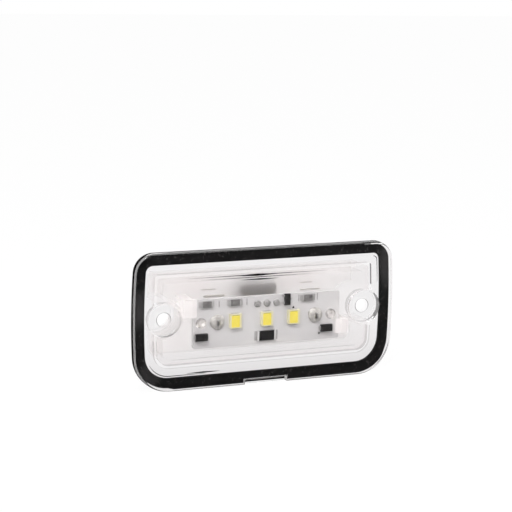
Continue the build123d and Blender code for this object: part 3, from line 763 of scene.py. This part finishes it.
lineLook = {
    "thick": 0.03, "square": 0.2, "rows": 8, "columns": 24,
    "places": [
        (-11.75, 2.55, 0.12, 0.85), (-4.25, 2.65, 0.12, 0.85),
        (10.0, 2.7, 0.09, 0.9), (15.2, 2.75, 0.1, 0.95),
    ],
}
viaLook = {
    "thick": 0.06, "square": 1.0, "rows": 10, "columns": 24,
    "places": [(8.55, 0.29, 0.3, 0.3), (15.9, -7.08, 0.28, 0.28)],
}


def flatBlocks(depth, look):
    # Soft blocks at one depth; each place gives a middle and two half widths across X and Z.
    square, rows, columns = look["square"], look["rows"], look["columns"]
    return [
        softBlock((x, depth, z), (halfX, look["thick"], halfZ), square, rows, columns)
        for x, z, halfX, halfZ in look["places"]
    ]


boardFront = millimetres("circuit_board")[0][1]
marks = flatBlocks(boardFront, lineLook)
dots = flatBlocks(boardFront, viaLook)
addPiece("board_print", marks, ink)
addPiece("board_vias", dots, solidMaterial("viaDark", mouldLook))
print("stage: board print")

# Dark streaks: thin black beads between the lens and the housing wall at the top, thick midway and tapering
# out, are painted reflection of the black connector in the housing's top wall; one more bead beside the seal
# at the lower left is painted reflection of the seal's inner edge, and a fine grey line along the bottom is
# painted shade of the collar's lower wall.

darkReflectionLook = {
    "depth": -1.57, "half": 0.04, "power": 0.8,
    "beads": [  # X, Z, half length and half height
        (-2.4, 9.97, 5.5, 0.29), (-2.0, 10.02, 19.5, 0.11), (-2.2, 9.42, 15.5, 0.095),
        (-1.6, 8.84, 5.3, 0.18), (-16.6, -14.2, 4.6, 0.19),
    ],
    "stub": 0.06, "stubPower": 8, "plump": 6.0, "rows": 60, "columns": 16,
}
# Painted shade: a thin grey line along the bottom for the shade line of the collar's lower wall.
shadeLineLook = {**darkReflectionLook, "power": 0.1, "beads": [(0.15, -10.45, 26.0, 0.032)]}


def darkReflectionGrid(x, z, reach, thick, look):
    # Each section is an ellipse. Its height is one less the distance from the middle, raised to a power,
    # plus a low stub that falls away only near the ends.
    along = np.linspace(-1.0, 1.0, look["rows"] + 2)[1:-1, None]
    turn = np.linspace(0.0, 2 * np.pi, look["columns"], endpoint=False)[None, :]
    swell = (1.0 - np.abs(along)) ** look["power"] + look["stub"] * (1.0 - along ** look["stubPower"])
    return np.stack([
        x + reach * along + 0.0 * turn,
        look["depth"] + look["half"] * np.sin(turn) * np.minimum(1.0, look["plump"] * swell),
        z + thick * swell * np.cos(turn),
    ], axis=-1)


addPiece("dark_reflection_streaks", [darkReflectionGrid(*bead, darkReflectionLook) for bead in darkReflectionLook["beads"]], rubber)
shadeLines = [darkReflectionGrid(*bead, shadeLineLook) for bead in shadeLineLook["beads"]]
addPiece("shade_line", shadeLines, edgeShade)

# Ribs on the inside of the housing's rear wall, two each side of the connector; their darker grey-brown is
# painted shade.

ribLook = {
    "broadScale": 300.0, "fineScale": 3000.0, "dark": (0.62, 0.60, 0.575), "light": (0.71, 0.69, 0.66),
    "rough": (0.4, 0.6), "bump": 0.05, "bumpDepth": 0.00002,
    "rearInner": 6.8, "stand": 0.2, "thick": 0.35, "square": 0.3, "rows": 16, "columns": 40,
    "places": [
        (-11.0, 3.29, 2.85, 0.28), (-12.5, 5.1, 2.0, 0.06),
        (15.7, 3.4, 2.8, 0.14), (14.5, 5.33, 1.7, 0.06),
    ],
}
ribs = flatBlocks(ribLook["rearInner"] - ribLook["stand"], ribLook)
addPiece("rear_ribs", ribs, solidMaterial("ribShade", ribLook))

# Stake crowns: each post's melted head is a clear dome, dented off its middle, with a pale spot of painted
# highlight

stakeLook = {
    "broadScale": 200.0, "fineScale": 2500.0, "dark": (0.90, 0.89, 0.87), "light": (0.96, 0.95, 0.93),
    "rough": (0.02, 0.05), "ior": 1.49, "bump": 0.1, "bumpDepth": 0.00003, "passage": (0.93, 0.925, 0.92),
    "radius": 1.42, "places": [(-16.55, -2.08), (18.95, -2.08)],
    "highlightSpots": [(0.5, (-16.15, -2.35, 0.8, 0.7)), (0.14, (18.6, -1.95, 0.9, 0.9))],
    "highlightSpotColour": (0.96, 0.95, 0.92),
}
crownLook = {
    "rise": 0.95, "fullness": 0.7, "waves": 2, "waveDepth": 0.03, "dent": 0.45, "rows": 18, "columns": 56,
    "proud": 0.01, "phases": (2.4, 2.6),
}


def stakeMaterial(name, look):
    material, tree, shader, output, coords = newMaterial(name)
    clearPlastic(tree, shader, coords, look)
    parts = splitCoords(tree, coords)
    # Painted highlight: a pale matt spot mixed into each crown.
    highlightSpot = plainShader(tree, "ShaderNodeBsdfDiffuse", look["highlightSpotColour"])
    surface = shader.outputs["BSDF"]
    for share, spot in look["highlightSpots"]:
        highlightShare = mathNode(tree, "MULTIPLY", spotMask(tree, parts, [spot]), share)
        surface = mixShaders(tree, highlightShare, surface, highlightSpot)
    letLampsThrough(tree, output, surface, look["passage"])
    return material


crowns = [
    solderGrid(place, boardFront - crownLook["proud"], stakeLook["radius"], crownLook, phase)
    for place, phase in zip(stakeLook["places"], crownLook["phases"])
]
addPiece("stake_crowns", crowns, stakeMaterial("stakeClear", stakeLook))
print("stage: seam, ribs and stakes")

# Camera, fitted to the photograph: 368 mm from the origin, to the left of the plate's normal and above it

cameraFit = {
    "place": (-0.13169, -0.33268, 0.08478),
    "right": (0.93268, -0.36034, 0.01604),
    "up": (0.0551, 0.1863, 0.98095),
    "lens": 101.186,
    "sensor": 36.0,
    "clip": (0.01, 50.0),
}
right = Vector(cameraFit["right"]).normalized()
up = Vector(cameraFit["up"])
back = right.cross(up).normalized()
up = back.cross(right).normalized()
cameraData = bpy.data.cameras.new("camera")
cameraData.lens = cameraFit["lens"]
cameraData.sensor_width = cameraFit["sensor"]
cameraData.clip_start, cameraData.clip_end = cameraFit["clip"]
camera = bpy.data.objects.new("camera", cameraData)
camera.matrix_world = Matrix((
    (right.x, up.x, back.x, cameraFit["place"][0]),
    (right.y, up.y, back.y, cameraFit["place"][1]),
    (right.z, up.z, back.z, cameraFit["place"][2]),
    (0.0, 0.0, 0.0, 1.0),
))
scene.collection.objects.link(camera)
scene.camera = camera


def freshRays(tree, rays, chosen):
    # The chosen rays, less those that have met a matt surface on the way.
    fresh = mathNode(tree, "LESS_THAN", rays.outputs["Diffuse Depth"], 0.5)
    return mathNode(tree, "MULTIPLY", chosen, fresh)


def mirroredRays(tree, rays):
    # One for rays that come from the camera by gloss or through glass alone.
    shiny = mathNode(tree, "MAXIMUM", rays.outputs["Is Glossy Ray"], rays.outputs["Is Transmission Ray"])
    return freshRays(tree, rays, shiny)


def bouncedRays(tree, rays):
    # One for those that have met a glossy surface, so that what is seen straight through glass stays white.
    bounced = mathNode(tree, "GREATER_THAN", rays.outputs["Glossy Depth"], 0.5)
    return freshRays(tree, rays, bounced)


# Floor: white to the camera, with the lamp's own shadow. Mirrored, it is dim in front of the lamp and white
# behind it.

floorLook = {
    "half": 3.0, "level": -0.0183, "dark": (0.8, 0.8, 0.8), "light": (0.83, 0.83, 0.83), "cloudScale": 3.0,
    "rough": 0.9, "lift": 0.92, "front": 0.04, "ramp": (-0.004, 0.004),
}
half = floorLook["half"]
corners = ((-half, -half), (half, -half), (half, half), (-half, half))
floorMesh = bpy.data.meshes.new("floor")
floorMesh.from_pydata([(x, y, floorLook["level"]) for x, y in corners], [], [(0, 1, 2, 3)])
floor = bpy.data.objects.new("floor", floorMesh)
scene.collection.objects.link(floor)
floorMaterial, tree, shader, output, coords = newMaterial("floorPale")
cloud = noiseNode(tree, coords, floorLook["cloudScale"])
paper = mixColours(tree, cloud, floorLook["dark"], floorLook["light"])
tree.links.new(paper, shader.inputs["Base Color"])
shader.inputs["Roughness"].default_value = floorLook["rough"]
shader.inputs["Specular IOR Level"].default_value = 0.0
rays = tree.nodes.new("ShaderNodeLightPath")
mirrored = mirroredRays(tree, rays)
depth = splitCoords(tree, coords).outputs["Y"]
rear = rangeNode(tree, depth, floorLook["front"], 1.0, *floorLook["ramp"], smooth=True)
plain = tree.nodes.new("ShaderNodeEmission")
straight = mathNode(tree, "SUBTRACT", 1.0, bouncedRays(tree, rays))
tree.links.new(mathNode(tree, "MAXIMUM", straight, rear), plain.inputs["Strength"])
lifted = mathNode(tree, "MULTIPLY", rays.outputs["Is Camera Ray"], floorLook["lift"])
share = mathNode(tree, "MAXIMUM", lifted, mirrored)
surface = mixShaders(tree, share, shader.outputs["BSDF"], plain.outputs["Emission"])
tree.links.new(surface, output.inputs["Surface"])
floorMesh.materials.append(floorMaterial)

# World: a white room, full white straight through glass, and dim only where the lens mirrors it

worldLook = {"room": 0.95, "dim": 0.04, "mirror": (0.41, -0.89, -0.19), "edge": (0.62, 0.86)}
world = bpy.data.worlds.new("studio")
scene.world = world
world.use_nodes = True
tree = world.node_tree
tree.nodes.clear()
rays = tree.nodes.new("ShaderNodeLightPath")
coords = tree.nodes.new("ShaderNodeTexCoord")
facing = tree.nodes.new("ShaderNodeVectorMath")
facing.operation = "DOT_PRODUCT"
facing.inputs[1].default_value = worldLook["mirror"]
tree.links.new(coords.outputs["Generated"], facing.inputs[0])
spot = rangeNode(tree, facing.outputs["Value"], 0.0, 1.0, *worldLook["edge"], smooth=True)
spot = mathNode(tree, "MULTIPLY", spot, bouncedRays(tree, rays))
room = rangeNode(tree, spot, worldLook["room"], worldLook["dim"], 0.0, 1.0)
onward = mathNode(tree, "GREATER_THAN", splitCoords(tree, coords, "Generated").outputs["Y"], 0.0)
through = mathNode(tree, "MULTIPLY", rays.outputs["Is Transmission Ray"], onward)
through = mathNode(tree, "MAXIMUM", through, rays.outputs["Is Camera Ray"])
sky = tree.nodes.new("ShaderNodeBackground")
sky.inputs["Color"].default_value = (1.0, 1.0, 1.0, 1.0)
tree.links.new(mathNode(tree, "MAXIMUM", through, room), sky.inputs["Strength"])
output = tree.nodes.new("ShaderNodeOutputWorld")
tree.links.new(sky.outputs["Background"], output.inputs["Surface"])

# Lamps: a broad key from the upper left and a weaker one from the right

lampLook = {
    "keyLamp": {"place": (-0.22, -0.30, 0.45), "size": 0.18, "watts": 1.9},
    "sideLamp": {"place": (0.40, -0.25, 0.25), "size": 0.25, "watts": 0.6},
}
for name, look in lampLook.items():
    lampData = bpy.data.lights.new(name, "AREA")
    lampData.shape = "DISK"
    lampData.size = look["size"]
    lampData.energy = look["watts"]
    lamp = bpy.data.objects.new(name, lampData)
    turned = (-Vector(look["place"])).to_track_quat("-Z", "Y").to_matrix().to_4x4()
    lamp.matrix_world = Matrix.Translation(look["place"]) @ turned
    scene.collection.objects.link(lamp)
print("stage: camera, floor and light")

print("stage: done")
